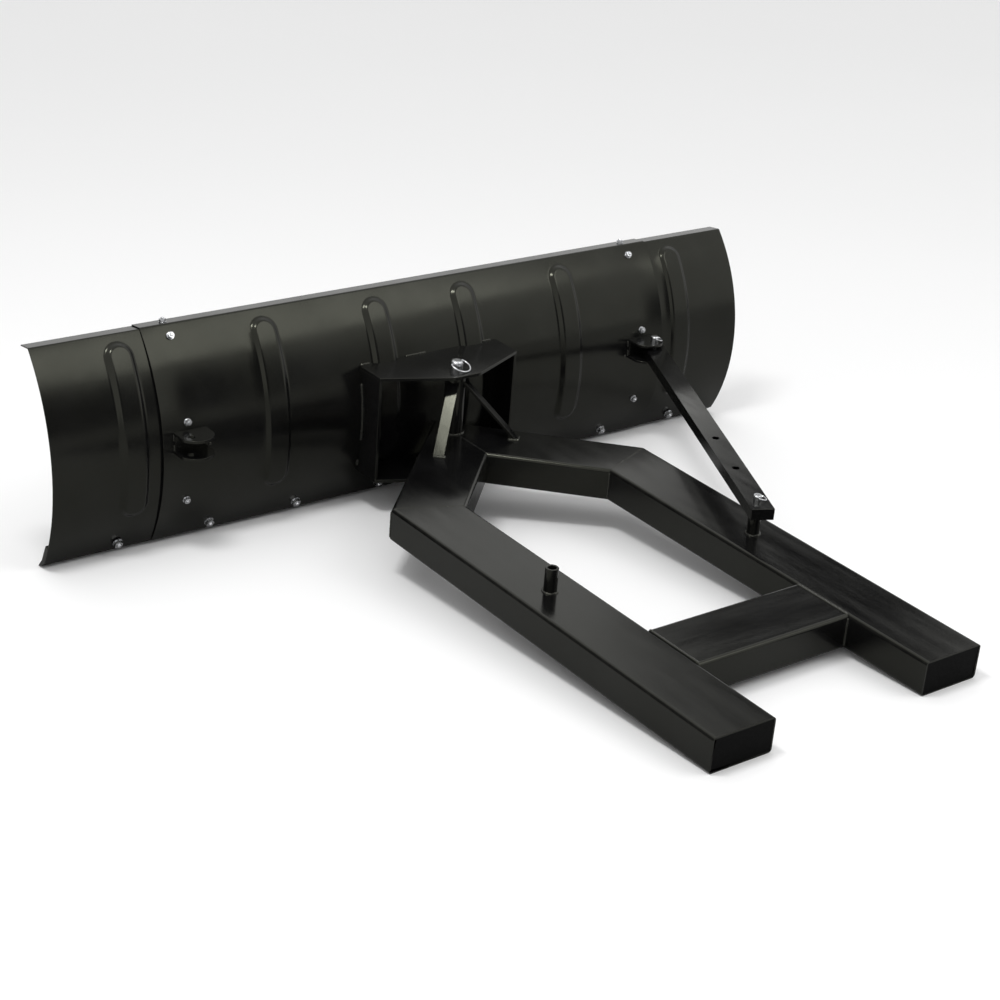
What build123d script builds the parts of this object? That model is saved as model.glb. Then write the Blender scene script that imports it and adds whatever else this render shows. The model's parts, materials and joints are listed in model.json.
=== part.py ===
from build123d import *
from build123d.topology import SkipClean
from math import asin, atan2, cos, degrees, hypot, radians, sin
import os

# ATV plow blade: a curved moldboard that swings on a push frame of rectangular tube.
#
# Everything is laid out in the frame of the two rails (X right, Y forward, Z square to
# the rails, origin where the kingpin's axis meets the rails' undersides). The whole
# object stands on the tip of its cutting edge and on the rear ends of its rails, so that
# frame is pitched up towards the blade by PITCH. Sizes are in millimetres.

# ---- moldboard ----
BLADE_LENGTH = 1500.0
SHEET = 2.0
CURVE_RADIUS = 326.0       # rear face of the centre panel
CURVE_Y = 395.5            # axis of the curve, parallel to X
CURVE_Z = 77.5
CURVE_TOP = 42.4           # degrees above the rearmost line of the curve
CURVE_BOTTOM = 29.4        # degrees below it
LIP_DEPTH = 29.0
LIP_SLOPE = 8.6            # degrees, falling towards the front
PANEL_HALF = 550.0         # the centre panel ends here
FIELD_EDGE = 210.0         # x of the lines between the inner and outer ribs
WING_START = 425.0         # the wings start here, in front of the centre panel

# ---- pressed ribs ----
PANEL_RIBS = (-325.0, -96.0, 96.0, 325.0)
WING_RIB = 600.0
RIB_HEIGHT = 6.0
RIB_BASE = 27.5            # half width at the sheet
RIB_CREST = 17.5           # half width on top
RIB_TOP = 34.7             # degrees, centre of the upper round end
RIB_BOTTOM = -11.4         # degrees, centre of the lower round end
RIB_ROOT = 1.8             # how far a rib's blank reaches into the sheet
RIB_SLOPE_SPARE = 1.0      # how far its sloping sides run on below the sheet's face
RIB_END_FLAT = 0.5         # what is left flat on the blank's round ends

# ---- cutting edge ----
EDGE_THICKNESS = 8.0
EDGE_UPPER = 38.0          # bolted height
EDGE_LOWER = 22.0          # height of the part that kicks forward
EDGE_KICK = 40.0           # degrees from upright
EDGE_BEVEL = 7.7           # from the bend, where the lower part's back is bevelled off
EDGE_BOLT_PITCH = 177.0
EDGE_BOLT_COUNT = 8

# ---- fasteners ----
SEAM_X = 500.0
SEAM_BOLT_ANGLES = (38.4, 12.1, -13.8)
LIP_BOLT_SETBACK = 13.0    # from the fold
BOLT_RADIUS = 3.0
EDGE_BOLT_RADIUS = 4.0
HOLE_PLAY = 0.2
WASHER = 1.2
WASHER_REACH = 2.0         # this and the next five in bolt radii
HEAD_REACH = 1.9
HEAD_HEIGHT = 1.1
NUT_HALF_FLATS = 1.65
NUT_HEIGHT = 1.7
THREAD_REACH = 2.4         # from the washer to the thread's end
HEAD_TAPER = 25.0          # degrees
NUT_PLAY = 0.05
HEAD_GAP = 0.1             # a flat head bridges the hollow of the sheet

# ---- kingpin bracket ----
PLATE = 6.0
BRACKET_HALF = 150.0
BRACKET_REAR = 20.0
NOSE_HALF = 28.0
NOSE_Y = -36.0
TOP_PLATE_Z = 177.0
BOTTOM_PLATE_Z = -21.0
NOSE_FILLET = 24.0
CHEEK = 5.5
INTO_PANEL = 130.0         # y of a blank's edge before it is cut to the panel

# ---- push frame ----
TUBE_WIDTH = 120.0
TUBE_HEIGHT = 60.0
TUBE_WALL = 3.0
RAIL_X = 215.0
RAIL_REACH = 1032.0        # kingpin axis to the rear end of the rails
ARM_CORNER_Y = -217.0      # outer corner of the mitre between rail and arm
CROSS_FRONT_Y = -745.0
HALF_MITRE = radians(22.5)
ARM_TURN = radians(45.0)
CAP_RECESS = 0.5           # the end caps are plugs, set in from the tube's end
CAP_PLUG = 14.0

KINGPIN_TUBE_RADIUS = 19.0
KINGPIN_TUBE_BOTTOM = -14.0
KINGPIN_TUBE_TOP = 176.0
KINGPIN_RADIUS = 9.0
RUNNING = 0.08             # radial clearance of a pin in its bore
BRACE_WIDTH = 20.0
BRACE_THICKNESS = 5.0
BRACE_FOOT = (85.0, -80.0)
BRACE_HEAD_Z = 158.0

# ---- strut, its posts and clevises ----
POST = (214.5, -576.0)
POST_RADIUS = 11.0
POST_BORE = 7.0
POST_TOP = 101.7
POST_CHAMFER = 0.8
CLEVIS_PIN = (509.0, 45.0)
CLEVIS_CENTRE = 497.0
CLEVIS_HALF = 31.0
CLEVIS_REAR = 22.0
CLEVIS_WEB = 66.3          # rear face of the plate between the ears
CLEVIS_BOTTOM = 95.0
CLEVIS_TOP = 133.0
EAR = 5.0
STRUT_BOTTOM = 102.0
STRUT_HEIGHT = 20.0
STRUT_WIDTH = 40.0
STRUT_WALL = 2.5
STRUT_TAIL = 36.0          # beyond the hole over the post
STRUT_HOLE = 6.5
STRUT_HOLE_PITCH = 125.0
STRUT_CAP = 2.0
STRUT_PLUG = 10.0
STRUT_PLUG_PLAY = 0.6

# ---- lock pins, each with a pull ring ----
KINGPIN_LENGTH = 216.0
KINGPIN_HEAD = 11.5        # radius of the head
KINGPIN_HEAD_HEIGHT = 16.0
KINGPIN_HINGE = 11.2       # height of the ring's hinge
KINGPIN_RING = 18.5        # radius of the ring
KINGPIN_RING_OFFSET = 9.0  # from the hinge to the ring's centre
KINGPIN_WIRE = 1.5
PIN_RADIUS = 6.0
CLEVIS_PIN_LENGTH = 46.0
POST_PIN_LENGTH = 19.8     # ends inside the strut, so that the strut can slide over the post
PIN_HEAD = 7.5
PIN_HEAD_HEIGHT = 10.0
PIN_HINGE = 6.2
PIN_RING = 11.0
PIN_RING_OFFSET = 5.0
PIN_WIRE = 1.25
RING_REST = 0.3            # a lying ring stays this far above its seat
RING_ENGAGEMENT = 4.0      # how far each of its ends reaches into the head
HINGE_PLAY = 0.08


def on_curve(radius, angle):
    """Point (y, z) on the moldboard's curve, the angle in degrees up from its rear line."""
    turn = radians(angle)
    return CURVE_Y - radius * cos(turn), CURVE_Z + radius * sin(turn)


def along(point, angle, length):
    """Point (y, z) reached from another by going a length at an angle above +Y."""
    return point[0] + length * cos(radians(angle)), point[1] + length * sin(radians(angle))


# The cutting edge lies against the front of the wings as a chord of their curve.
wing_front = CURVE_RADIUS - 2 * SHEET
chord_slope = CURVE_BOTTOM - degrees(EDGE_UPPER / 2 / wing_front)
edge_foot = on_curve(wing_front, -CURVE_BOTTOM)
edge_back_top = along(edge_foot, 90 + chord_slope, EDGE_UPPER)
edge_front_top = along(edge_back_top, chord_slope, EDGE_THICKNESS)
edge_front_bend = along(edge_foot, chord_slope, EDGE_THICKNESS)
edge_tip = along(edge_front_bend, EDGE_KICK - 90, EDGE_LOWER)
edge_bevel = along(edge_foot, EDGE_KICK - 90, EDGE_BEVEL)

# The line from the rails' rear ends to the edge's tip is the floor.
PITCH = atan2(-edge_tip[1], edge_tip[0] + RAIL_REACH)
lip_tip = along(on_curve(CURVE_RADIUS, CURVE_TOP), -LIP_SLOPE, LIP_DEPTH)
front = (lip_tip[0] + RAIL_REACH) * cos(PITCH) - lip_tip[1] * sin(PITCH)
rear = -TUBE_HEIGHT * sin(PITCH)
rig = Plane(
    origin=(0, RAIL_REACH * cos(PITCH) - (front + rear) / 2, RAIL_REACH * sin(PITCH)),
    x_dir=(1, 0, 0),
    z_dir=(0, -sin(PITCH), cos(PITCH)),
)


def spot(x, y, z):
    """World position of a point given in the rails' frame."""
    return rig.from_local_coords(Vector(x, y, z))


def direction(x, y, z):
    """World direction of a vector given in the rails' frame."""
    return spot(x, y, z) - spot(0, 0, 0)


def level(z, x=0.0, y=0.0):
    """Plane square to the kingpin at a height, with its origin over a point."""
    return Plane(origin=spot(x, y, z), x_dir=(1, 0, 0), z_dir=rig.z_dir)


def upright(x):
    """Plane square to X, drawn in (y, z)."""
    return Plane(origin=spot(x, 0, 0), x_dir=rig.y_dir, z_dir=(1, 0, 0))


def radial(x, angle, radius):
    """Plane on the moldboard that faces away from the curve's axis."""
    y, z = on_curve(radius, angle)
    outward = direction(0, -cos(radians(angle)), sin(radians(angle)))
    return Plane(origin=spot(x, y, z), x_dir=(1, 0, 0), z_dir=outward)


curve_axis = Axis(spot(0, CURVE_Y, CURVE_Z), (1, 0, 0))


def finish(builder, name):
    """Label a finished piece and write it out."""
    builder.part.label = name
    export_step(builder.part, f"parts/{name}.step")


os.makedirs("parts", exist_ok=True)

# ======================================================================================
# Moldboard
# ======================================================================================


def sheet_outline(depth):
    """Bottom, middle, fold and lip tip of the sheet's face at a depth behind the rear face."""
    radius = CURVE_RADIUS - depth
    fold = on_curve(CURVE_RADIUS, CURVE_TOP)
    rise = (CURVE_Y - fold[0]) * sin(radians(LIP_SLOPE)) + (CURVE_Z - fold[1]) * cos(radians(LIP_SLOPE))
    fold_angle = LIP_SLOPE + degrees(asin((-depth - rise) / radius))
    tip = along(along(fold, -LIP_SLOPE, LIP_DEPTH), -LIP_SLOPE - 90, depth)
    return on_curve(radius, -CURVE_BOTTOM), on_curve(radius, 0), on_curve(radius, fold_angle), tip


def sheet(depth, start, end):
    """Curved sheet with its lip, its rear face at a depth, between two x positions."""
    rear_foot, rear_middle, rear_fold, rear_tip = sheet_outline(depth)
    front_foot, front_middle, front_fold, front_tip = sheet_outline(depth + SHEET)
    with BuildSketch(upright(start)) as outline:
        with BuildLine():
            ThreePointArc(rear_foot, rear_middle, rear_fold)
            Polyline(rear_fold, rear_tip, front_tip, front_fold)
            ThreePointArc(front_fold, front_middle, front_foot)
            Line(front_foot, rear_foot)
        make_face()
    extrude(outline.sketch, amount=end - start, clean=False)


def rib(x, depth):
    """Solid of a round-ended rib with sloping sides, standing from the sheet's face at a depth."""
    drop = RIB_HEIGHT + RIB_SLOPE_SPARE
    half = RIB_CREST + drop * (RIB_BASE - RIB_CREST) / RIB_HEIGHT
    inner = CURVE_RADIUS - depth - RIB_ROOT
    outer = CURVE_RADIUS - depth + RIB_HEIGHT
    round_end = degrees(half / outer)
    low = RIB_BOTTOM - round_end
    high = RIB_TOP + round_end
    outward = direction(0, -cos(radians(low)), sin(radians(low)))
    section = Plane(
        origin=spot(x, CURVE_Y, CURVE_Z), x_dir=(1, 0, 0), z_dir=Vector(1, 0, 0).cross(outward)
    )
    crown = radial(x, (low + high) / 2, outer)
    with BuildPart() as blank:
        with BuildSketch(section):
            with Locations((0, (inner + outer) / 2)):
                Rectangle(2 * half, outer - inner)
        revolve(axis=curve_axis, revolution_arc=low - high)
        corners = blank.edges().filter_by(lambda edge: abs(edge.length - (outer - inner)) < 1e-3)
        fillet(corners, radius=half - RIB_END_FLAT)
        crest = blank.faces().sort_by(Axis(crown.origin, crown.z_dir))[-1]
        chamfer(crest.edges(), length=half - RIB_CREST, length2=drop, reference=crest)
    return blank.part


def bolt_holes(spots, radius):
    """Round holes through the sheets, square to the curve."""
    for x, angle in spots:
        with BuildSketch(radial(x, angle, CURVE_RADIUS - 3 * SHEET)) as hole:
            Circle(radius)
        extrude(hole.sketch, amount=4 * SHEET, mode=Mode.SUBTRACT, clean=False)


edge_angle = -CURVE_BOTTOM + degrees(EDGE_UPPER / 2 / wing_front)
edge_bolt_x = [(i - (EDGE_BOLT_COUNT - 1) / 2) * EDGE_BOLT_PITCH for i in range(EDGE_BOLT_COUNT)]
edge_bolt_spots = [(x, edge_angle) for x in edge_bolt_x]
seam_bolt_spots = [(side * SEAM_X, angle) for side in (-1, 1) for angle in SEAM_BOLT_ANGLES]
lip_seat = along(on_curve(CURVE_RADIUS, CURVE_TOP), -LIP_SLOPE, LIP_BOLT_SETBACK)
lip_down = direction(0, -sin(radians(LIP_SLOPE)), -cos(radians(LIP_SLOPE)))


def lip_holes(x_positions):
    """Holes down through the lips, square to them."""
    for x in x_positions:
        top = spot(x, *lip_seat) - lip_down * SHEET
        with BuildSketch(Plane(origin=top, x_dir=(1, 0, 0), z_dir=lip_down)) as hole:
            Circle(BOLT_RADIUS + HOLE_PLAY)
        extrude(hole.sketch, amount=5 * SHEET, mode=Mode.SUBTRACT, clean=False)


def drill_moldboard(start, end):
    """Every fastener hole that falls on a panel between two x positions."""
    for spots, radius in (
        (edge_bolt_spots, EDGE_BOLT_RADIUS),
        (seam_bolt_spots, BOLT_RADIUS),
    ):
        bolt_holes([(x, angle) for x, angle in spots if start < x < end], radius + HOLE_PLAY)
    lip_holes([x for x in (-SEAM_X, SEAM_X) if start < x < end])


panel_ribs = [rib(x, 0) for x in PANEL_RIBS]
panel_hollows = [rib(x, SHEET) for x in PANEL_RIBS]
field_edges = (-PANEL_HALF, -FIELD_EDGE, 0.0, FIELD_EDGE, PANEL_HALF)
# The panel keeps a line between each two ribs, so that every curved face holds one rib.
with SkipClean(), BuildPart() as centre_panel:
    for start, end in zip(field_edges, field_edges[1:]):
        sheet(0, start, end)
    add(panel_ribs, clean=False)
    add(panel_hollows, mode=Mode.SUBTRACT, clean=False)
    drill_moldboard(-PANEL_HALF, PANEL_HALF)
finish(centre_panel, "centre_panel")

for name, side in (("left_wing_panel", -1), ("right_wing_panel", 1)):
    start, end = sorted((side * WING_START, side * BLADE_LENGTH / 2))
    wing_rib = rib(side * WING_RIB, SHEET)
    wing_hollow = rib(side * WING_RIB, 2 * SHEET)
    with BuildPart() as wing_panel:
        sheet(SHEET, start, end)
        add(wing_rib)
        add(wing_hollow, mode=Mode.SUBTRACT)
        drill_moldboard(start, end)
    finish(wing_panel, name)

with BuildPart() as cutting_edge:
    with BuildSketch(upright(-BLADE_LENGTH / 2)):
        with BuildLine():
            Polyline(
                edge_back_top, edge_front_top, edge_front_bend, edge_tip, edge_bevel, edge_foot, close=True
            )
        make_face()
    extrude(amount=BLADE_LENGTH)
    for x, angle in edge_bolt_spots:
        with BuildSketch(radial(x, angle, wing_front - 2 * EDGE_THICKNESS)):
            Circle(EDGE_BOLT_RADIUS + HOLE_PLAY)
        extrude(amount=3 * EDGE_THICKNESS, mode=Mode.SUBTRACT)
finish(cutting_edge, "cutting_edge")

# ---- bolts and nuts ----


def bolt_set(name, planes, radius, length):
    """One node of identical bolts; each plane lies under a head and faces along the shank."""
    with BuildPart() as bolts:
        for plane in planes:
            with BuildSketch(plane):
                Circle(radius)
            extrude(amount=length)
            with BuildSketch(plane):
                Circle(HEAD_REACH * radius)
            extrude(amount=-HEAD_HEIGHT * radius, taper=HEAD_TAPER)
    finish(bolts, name)


def nut_set(name, seats, radius):
    """One node of identical hexagon nuts, each in one piece with its washer."""
    with BuildPart() as nuts:
        for seat in seats:
            with BuildSketch(seat):
                Circle(WASHER_REACH * radius)
            extrude(amount=WASHER)
            with BuildSketch(seat.offset(WASHER)):
                RegularPolygon(radius=NUT_HALF_FLATS * radius, side_count=6, major_radius=False)
            extrude(amount=NUT_HEIGHT * radius)
            with BuildSketch(seat):
                Circle(radius + NUT_PLAY)
            extrude(amount=WASHER + NUT_HEIGHT * radius, mode=Mode.SUBTRACT)
    finish(nuts, name)


def shank_length(grip, radius):
    """Length under the head: the grip, washer and nut, and the thread that stands out."""
    return grip + WASHER + THREAD_REACH * radius


seam_head = CURVE_RADIUS - 2 * SHEET - HEAD_GAP
edge_face = wing_front * cos(EDGE_UPPER / 2 / wing_front) - EDGE_THICKNESS
lip_top_seats = [
    Plane(origin=spot(x, *lip_seat), x_dir=(1, 0, 0), z_dir=-lip_down) for x in (-SEAM_X, SEAM_X)
]

bolt_set(
    "seam_bolts",
    [radial(x, angle, seam_head) for x, angle in seam_bolt_spots],
    BOLT_RADIUS,
    shank_length(CURVE_RADIUS - seam_head, BOLT_RADIUS),
)
nut_set("seam_nuts", [radial(x, angle, CURVE_RADIUS) for x, angle in seam_bolt_spots], BOLT_RADIUS)
bolt_set(
    "edge_bolts",
    [radial(x, angle, edge_face) for x, angle in edge_bolt_spots],
    EDGE_BOLT_RADIUS,
    shank_length(CURVE_RADIUS - edge_face, EDGE_BOLT_RADIUS),
)
nut_set(
    "edge_nuts", [radial(x, angle, CURVE_RADIUS) for x, angle in edge_bolt_spots], EDGE_BOLT_RADIUS
)
bolt_set(
    "lip_bolts",
    [seat.offset(-2 * SHEET) for seat in lip_top_seats],
    BOLT_RADIUS,
    shank_length(2 * SHEET, BOLT_RADIUS),
)
nut_set("lip_nuts", lip_top_seats, BOLT_RADIUS)

# ======================================================================================
# Kingpin bracket and clevises, welded to the back of the centre panel
# ======================================================================================

# What the welded pieces are cut to: the panel's rear face with its ribs.
with BuildPart() as panel_back:
    with BuildSketch(upright(-PANEL_HALF)):
        with Locations((CURVE_Y, CURVE_Z)):
            Circle(CURVE_RADIUS)
    extrude(amount=2 * PANEL_HALF)
    add(panel_ribs)

for name, height in (("bracket_top_plate", TOP_PLATE_Z), ("bracket_bottom_plate", BOTTOM_PLATE_Z)):
    with BuildPart() as bracket_plate:
        with BuildSketch(level(height)):
            with BuildLine():
                Polyline(
                    (-BRACKET_HALF, INTO_PANEL),
                    (-BRACKET_HALF, BRACKET_REAR),
                    (-NOSE_HALF, NOSE_Y),
                    (NOSE_HALF, NOSE_Y),
                    (BRACKET_HALF, BRACKET_REAR),
                    (BRACKET_HALF, INTO_PANEL),
                    close=True,
                )
            make_face()
            fillet(vertices().sort_by(Axis.Y)[:2], radius=NOSE_FILLET)
            Circle(KINGPIN_RADIUS + RUNNING, mode=Mode.SUBTRACT)
        extrude(amount=PLATE)
        add(panel_back.part, mode=Mode.SUBTRACT)
    finish(bracket_plate, name)

for name, x in (("left_cheek", -BRACKET_HALF), ("right_cheek", BRACKET_HALF - CHEEK)):
    with BuildPart() as cheek:
        with BuildSketch(upright(x)):
            with BuildLine():
                Polyline(
                    (BRACKET_REAR, BOTTOM_PLATE_Z + PLATE),
                    (INTO_PANEL, BOTTOM_PLATE_Z + PLATE),
                    (INTO_PANEL, TOP_PLATE_Z),
                    (BRACKET_REAR, TOP_PLATE_Z),
                    close=True,
                )
            make_face()
        extrude(amount=CHEEK)
        add(panel_back.part, mode=Mode.SUBTRACT)
    finish(cheek, name)

for name, side in (("left_clevis", -1), ("right_clevis", 1)):
    low = side * CLEVIS_CENTRE - CLEVIS_HALF
    high = side * CLEVIS_CENTRE + CLEVIS_HALF
    shoulder = (CLEVIS_REAR + CLEVIS_WEB) / 2
    with BuildPart() as clevis:
        for height in (CLEVIS_BOTTOM, CLEVIS_TOP - EAR):
            with BuildSketch(level(height)):
                with BuildLine():
                    Polyline((low, shoulder), (low, INTO_PANEL), (high, INTO_PANEL), (high, shoulder))
                    ThreePointArc((high, shoulder), (side * CLEVIS_CENTRE, CLEVIS_REAR), (low, shoulder))
                make_face()
                with Locations((side * CLEVIS_PIN[0], CLEVIS_PIN[1])):
                    Circle(PIN_RADIUS + RUNNING, mode=Mode.SUBTRACT)
            extrude(amount=EAR)
        with BuildSketch(level(CLEVIS_BOTTOM)):
            with Locations((side * CLEVIS_CENTRE, (CLEVIS_WEB + INTO_PANEL) / 2)):
                Rectangle(2 * CLEVIS_HALF, INTO_PANEL - CLEVIS_WEB)
        extrude(amount=CLEVIS_TOP - CLEVIS_BOTTOM)
        add(panel_back.part, mode=Mode.SUBTRACT)
    finish(clevis, name)

# ======================================================================================
# Push frame
# ======================================================================================

tube_middle = TUBE_HEIGHT / 2
bore_width = TUBE_WIDTH - 2 * TUBE_WALL
bore_height = TUBE_HEIGHT - 2 * TUBE_WALL


def hollow_section():
    """Cross-section of the frame's rectangular tube."""
    Rectangle(TUBE_WIDTH, TUBE_HEIGHT)
    Rectangle(bore_width, bore_height, mode=Mode.SUBTRACT)


def mitre(side):
    """Plane of the weld between a rail and its arm, facing the arm."""
    corner = spot(side * (RAIL_X + TUBE_WIDTH / 2), ARM_CORNER_Y, 0)
    return Plane(origin=corner, z_dir=direction(-side * sin(HALF_MITRE), cos(HALF_MITRE), 0))


for side, word in ((-1, "left"), (1, "right")):
    with BuildPart() as rail:
        start = spot(side * RAIL_X, -RAIL_REACH, tube_middle)
        with BuildSketch(Plane(origin=start, x_dir=(-1, 0, 0), z_dir=rig.y_dir)):
            hollow_section()
        extrude(amount=ARM_CORNER_Y + RAIL_REACH)
        split(bisect_by=mitre(side), keep=Keep.BOTTOM)
    finish(rail, f"{word}_rail")

    # The arm's outer face runs at 45 degrees from the mitre's outer corner to the nose.
    toward_nose = direction(-side * sin(ARM_TURN), cos(ARM_TURN), 0)
    across = direction(side * cos(ARM_TURN), sin(ARM_TURN), 0)
    outer_corner = spot(side * (RAIL_X + TUBE_WIDTH / 2), ARM_CORNER_Y, tube_middle)
    with BuildPart() as arm:
        start = outer_corner - across * (TUBE_WIDTH / 2) - toward_nose * TUBE_WIDTH
        with BuildSketch(Plane(origin=start, x_dir=across, z_dir=toward_nose)):
            hollow_section()
        extrude(amount=(RAIL_X + TUBE_WIDTH) / sin(ARM_TURN) + TUBE_WIDTH)
        split(bisect_by=mitre(side), keep=Keep.TOP)
        split(bisect_by=Plane(origin=rig.origin, z_dir=(side, 0, 0)), keep=Keep.TOP)
        with BuildSketch(level(-1)):
            Circle(KINGPIN_TUBE_RADIUS)
        extrude(amount=TUBE_HEIGHT + 2, mode=Mode.SUBTRACT)
    finish(arm, f"{word}_arm")

    with BuildPart() as end_cap:
        seat = spot(side * RAIL_X, CAP_RECESS - RAIL_REACH, tube_middle)
        with BuildSketch(Plane(origin=seat, x_dir=(-1, 0, 0), z_dir=rig.y_dir)):
            Rectangle(bore_width, bore_height)
        extrude(amount=CAP_PLUG)
    finish(end_cap, f"{word}_end_cap")

    # Flat bar from the top of the arm up to the kingpin tube, drawn in (reach, z).
    reach = hypot(*BRACE_FOOT)
    outward = direction(side * BRACE_FOOT[0] / reach, BRACE_FOOT[1] / reach, 0)
    with BuildPart() as brace:
        with BuildSketch(Plane(origin=rig.origin, x_dir=outward, z_dir=outward.cross(rig.z_dir))):
            run = reach - KINGPIN_TUBE_RADIUS
            rise = BRACE_HEAD_Z - TUBE_HEIGHT
            half_cut = BRACE_THICKNESS / 2 * hypot(run, rise) / rise
            inside = KINGPIN_TUBE_RADIUS / 2
            lift = rise / run * (reach - inside)
            with BuildLine():
                Polyline(
                    (reach + half_cut, TUBE_HEIGHT),
                    (inside + half_cut, TUBE_HEIGHT + lift),
                    (inside - half_cut, TUBE_HEIGHT + lift),
                    (reach - half_cut, TUBE_HEIGHT),
                    close=True,
                )
            make_face()
        extrude(amount=BRACE_WIDTH / 2, both=True)
        with BuildSketch(level(0)):
            Circle(KINGPIN_TUBE_RADIUS)
        extrude(amount=2 * BRACE_HEAD_Z, mode=Mode.SUBTRACT)
    finish(brace, f"{word}_brace")

    with BuildPart() as post:
        with BuildSketch(level(TUBE_HEIGHT, side * POST[0], POST[1])):
            Circle(POST_RADIUS)
            Circle(POST_BORE, mode=Mode.SUBTRACT)
        extrude(amount=POST_TOP - TUBE_HEIGHT)
        chamfer(edges().group_by(Axis(rig.origin, rig.z_dir))[-1], length=POST_CHAMFER)
    finish(post, f"{word}_post")

with BuildPart() as cross_tube:
    inner_x = RAIL_X - TUBE_WIDTH / 2
    start = spot(-inner_x, CROSS_FRONT_Y - TUBE_WIDTH / 2, tube_middle)
    with BuildSketch(Plane(origin=start, x_dir=rig.y_dir, z_dir=(1, 0, 0))):
        hollow_section()
    extrude(amount=2 * inner_x)
finish(cross_tube, "cross_tube")

with BuildPart() as kingpin_tube:
    with BuildSketch(level(KINGPIN_TUBE_BOTTOM)):
        Circle(KINGPIN_TUBE_RADIUS)
        Circle(KINGPIN_RADIUS + RUNNING, mode=Mode.SUBTRACT)
    extrude(amount=KINGPIN_TUBE_TOP - KINGPIN_TUBE_BOTTOM)
finish(kingpin_tube, "kingpin_tube")

# ======================================================================================
# Strut
# ======================================================================================

strut_span = hypot(CLEVIS_PIN[0] - POST[0], CLEVIS_PIN[1] - POST[1])
strut_dir = direction((POST[0] - CLEVIS_PIN[0]) / strut_span, (POST[1] - CLEVIS_PIN[1]) / strut_span, 0)
strut_plane = Plane(
    origin=spot(CLEVIS_PIN[0], CLEVIS_PIN[1], STRUT_BOTTOM), x_dir=strut_dir, z_dir=rig.z_dir
)
strut_end = strut_span + STRUT_TAIL - STRUT_CAP

with BuildPart() as strut_tube:
    with BuildSketch(strut_plane):
        Circle(STRUT_WIDTH / 2)
        with Locations((strut_end / 2, 0)):
            Rectangle(strut_end, STRUT_WIDTH)
        with Locations(*[(strut_span - i * STRUT_HOLE_PITCH, 0) for i in range(3)], (0, 0)):
            Circle(STRUT_HOLE, mode=Mode.SUBTRACT)
    extrude(amount=STRUT_HEIGHT)
    with BuildSketch(strut_plane.offset(STRUT_WALL)):
        with Locations((strut_end / 2, 0)):
            Rectangle(strut_end + 2 * STRUT_WIDTH, STRUT_WIDTH - 2 * STRUT_WALL)
    extrude(amount=STRUT_HEIGHT - 2 * STRUT_WALL, mode=Mode.SUBTRACT)
finish(strut_tube, "strut_tube")

with BuildPart() as strut_cap:
    tail = strut_plane.from_local_coords(Vector(strut_end, 0, STRUT_HEIGHT / 2))
    tail_plane = Plane(origin=tail, x_dir=strut_plane.y_dir, z_dir=strut_dir)
    with BuildSketch(tail_plane):
        Rectangle(STRUT_WIDTH, STRUT_HEIGHT)
    extrude(amount=STRUT_CAP)
    with BuildSketch(tail_plane):
        Rectangle(
            STRUT_WIDTH - 2 * STRUT_WALL - STRUT_PLUG_PLAY, STRUT_HEIGHT - 2 * STRUT_WALL - STRUT_PLUG_PLAY
        )
    extrude(amount=-STRUT_PLUG)
finish(strut_cap, "strut_cap")

# ======================================================================================
# Lock pins: a domed head with a wire pull ring hinged in a cross hole
# ======================================================================================


def lock_pin(name, seat, radius, length, head_radius, head_height, pivot, pivot_height, wire):
    """Pin whose head stands on the seat plane; pivot is the cross hole's direction."""
    with BuildPart() as pin:
        with BuildSketch(seat):
            Circle(radius)
        extrude(amount=-length)
        chamfer(faces().sort_by(Axis(rig.origin, rig.z_dir))[0].edges(), length=radius / 5)
        with BuildSketch(seat):
            Circle(head_radius)
        extrude(amount=head_height)
        fillet(faces().sort_by(Axis(rig.origin, rig.z_dir))[-1].edges(), radius=head_radius / 2.5)
        eye = Plane(origin=seat.origin + seat.z_dir * pivot_height, z_dir=pivot)
        with BuildSketch(eye):
            Circle(wire + HINGE_PLAY)
        extrude(amount=head_radius + 1, both=True, mode=Mode.SUBTRACT)
    finish(pin, name)


def pull_ring(name, seat, pivot_height, ring_radius, wire, offset, pivot, head_radius):
    """Open wire ring hinged on a pin's head, lying down until it nearly meets the seat."""
    drop = asin((pivot_height - wire - RING_REST) / (offset + ring_radius))
    away = seat.z_dir.cross(pivot)
    downhill = away * cos(drop) - seat.z_dir * sin(drop)
    lying = Plane(origin=seat.origin + seat.z_dir * pivot_height, x_dir=-pivot, z_dir=downhill.cross(pivot))
    reach = (ring_radius**2 - offset**2) ** 0.5
    start_angle = atan2(-offset, reach)
    centre = lying.from_local_coords(Vector(0, offset, 0))
    tangent = lying.from_local_coords(Vector(-sin(start_angle), cos(start_angle), 0)) - lying.origin
    with BuildPart(lying) as ring:
        with BuildSketch(Plane(origin=lying.from_local_coords(Vector(reach, 0, 0)), z_dir=tangent)):
            Circle(wire)
        revolve(axis=Axis(centre, lying.z_dir), revolution_arc=180 - 2 * degrees(start_angle))
        for end in (-1, 1):
            corner = lying.from_local_coords(Vector(end * reach, 0, 0))
            with Locations((end * reach, 0, 0)):
                Sphere(wire)
            with BuildSketch(Plane(origin=corner, z_dir=pivot * end)):
                Circle(wire)
            extrude(amount=reach - head_radius + RING_ENGAGEMENT)
    finish(ring, name)


kingpin_seat = level(TOP_PLATE_Z + PLATE)
clevis_pin_seat = level(CLEVIS_TOP, *CLEVIS_PIN)
post_pin_seat = level(STRUT_BOTTOM + STRUT_HEIGHT, *POST)
kingpin_pivot = direction(-0.94, -0.34, 0).normalized()
strut_pin_pivot = direction(-0.34, -0.94, 0).normalized()

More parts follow.
